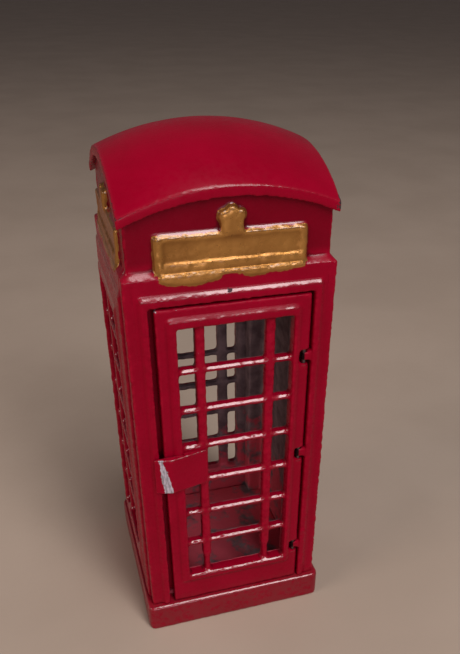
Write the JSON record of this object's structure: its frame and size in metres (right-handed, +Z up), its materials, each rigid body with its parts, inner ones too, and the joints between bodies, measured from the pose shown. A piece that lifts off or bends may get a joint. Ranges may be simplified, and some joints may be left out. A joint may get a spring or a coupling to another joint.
{
  "type": "miniature telephone booth",
  "caption": "Die-cast miniature telephone booth with a domed roof, blank sign panels, open glazing grids and a hinged door that opens outward.",
  "frame": {"origin": "middle of the foot slab's underside, on the surface that it stands on", "axes": "+Z up; -Y out through the door; +X to the viewer's right, on the hinge side of the door"},
  "size_m": [0.0452, 0.0462, 0.1163],
  "materials": {
    "red_enamel": "thick glossy crimson enamel with pooled, uneven highlights, bare grey zinc inside",
    "red_enamel_gold_sign": "thick glossy crimson enamel, with hand-painted gold on the raised sign and the boss over it",
    "red_enamel_worn": "glossy crimson enamel worn through to pale bare metal along the edge that fingers touch",
    "steel_wire": "drawn steel wire",
    "screw_steel": "plain zinc-plated steel"
  },
  "bodies": {
    "booth": {"base_plate": "red_enamel", "front_frame": "red_enamel_gold_sign", "right_wall": "red_enamel_gold_sign", "back_wall": "red_enamel_gold_sign", "left_wall": "red_enamel_gold_sign", "roof": "red_enamel", "base_screws": "screw_steel"},
    "door": {"door": "red_enamel", "door_pull": "red_enamel_worn", "hinge_pin": "steel_wire"}
  },
  "joints": [
    {"name": "door_hinge", "type": "hinge", "parent": "booth", "child": "door", "pos_m": [0.01545, -0.0206, 0.0476], "axis": [0, 0, 1], "range_deg": [0, 100]}
  ]
}
